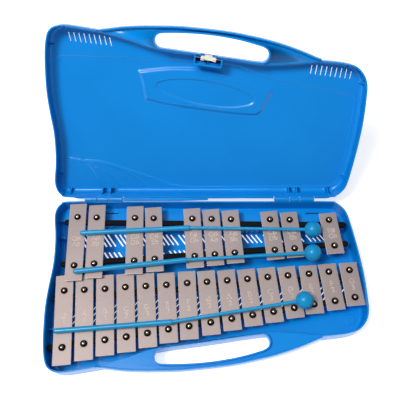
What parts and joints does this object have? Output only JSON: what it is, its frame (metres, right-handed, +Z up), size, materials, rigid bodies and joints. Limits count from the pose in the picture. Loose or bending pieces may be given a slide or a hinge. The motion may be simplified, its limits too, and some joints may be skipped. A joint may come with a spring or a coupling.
{
  "type": "chromatic glockenspiel in carry case",
  "caption": "Two-row chromatic glockenspiel with loose metal bars on pins, built into a hinged plastic carry case with handles, a slide latch and ball mallets.",
  "frame": {"origin": "centre of the case's flat underside", "axes": "+Z up, +Y towards the hinges, +X along the rows of bars towards the short, high bars"},
  "size_m": [0.4105, 0.3865, 0.2187],
  "materials": {
    "case_plastic": "satin moulded blue plastic",
    "rail_rubber": "matt black foam rubber",
    "bar_steel": "fine blasted satin",
    "pin_nickel": "bright nickel over brass",
    "grommet_rubber": "black rubber",
    "rod_steel": "bright drawn wire",
    "latch_plastic": "cream moulded plastic",
    "mallet_plastic": "moulded blue plastic",
    "mallet_head_plastic": "smooth hard blue plastic"
  },
  "bodies": {
    "case_base": {"base_shell": "case_plastic", "rail_sharp_rear": "rail_rubber", "rail_sharp_front": "rail_rubber", "rail_natural_rear": "rail_rubber", "rail_natural_front": "rail_rubber", "bar_G1": "bar_steel", "bar_A1": "bar_steel", "bar_B1": "bar_steel", "bar_C2": "bar_steel", "bar_D2": "bar_steel", "bar_E2": "bar_steel", "bar_F2": "bar_steel", "bar_G2": "bar_steel", "bar_A2": "bar_steel", "bar_B2": "bar_steel", "bar_C3": "bar_steel", "bar_D3": "bar_steel", "bar_E3": "bar_steel", "bar_F3": "bar_steel", "bar_G3": "bar_steel", "bar_GS1": "bar_steel", "bar_AS1": "bar_steel", "bar_CS2": "bar_steel", "bar_DS2": "bar_steel", "bar_FS2": "bar_steel", "bar_GS2": "bar_steel", "bar_AS2": "bar_steel", "bar_CS3": "bar_steel", "bar_DS3": "bar_steel", "bar_FS3": "bar_steel", "natural_pins": "pin_nickel", "sharp_pins": "pin_nickel", "natural_grommets": "grommet_rubber", "sharp_grommets": "grommet_rubber", "hinge_pin_left": "rod_steel", "hinge_pin_right": "rod_steel"},
    "lid": {"lid_shell": "case_plastic", "latch_rod": "rod_steel"},
    "latch": {"latch_slider": "latch_plastic"},
    "mallet_rear": {"mallet_rear_stick": "mallet_plastic", "mallet_rear_head": "mallet_head_plastic"},
    "mallet_middle": {"mallet_middle_stick": "mallet_plastic", "mallet_middle_head": "mallet_head_plastic"},
    "mallet_front": {"mallet_front_stick": "mallet_plastic", "mallet_front_head": "mallet_head_plastic"}
  },
  "joints": [
    {"name": "lid_hinge", "type": "hinge", "parent": "case_base", "child": "lid", "pos_m": [0, 0.1175, 0.0302], "axis": [1, 0, 0], "range_deg": [0, 126]},
    {"name": "latch_slide", "type": "slide", "parent": "lid", "child": "latch", "axis": [0.9888, -0.0879, -0.121], "range_m": [0, 0.005]},
    {"name": "mallet_rear_lift", "type": "slide", "parent": "case_base", "child": "mallet_rear", "axis": [0, 0, -1], "range_m": [-0.1, 0]},
    {"name": "mallet_middle_lift", "type": "slide", "parent": "case_base", "child": "mallet_middle", "axis": [0, 0, -1], "range_m": [-0.1, 0]},
    {"name": "mallet_front_lift", "type": "slide", "parent": "case_base", "child": "mallet_front", "axis": [0, 0, -1], "range_m": [-0.1, 0]}
  ]
}
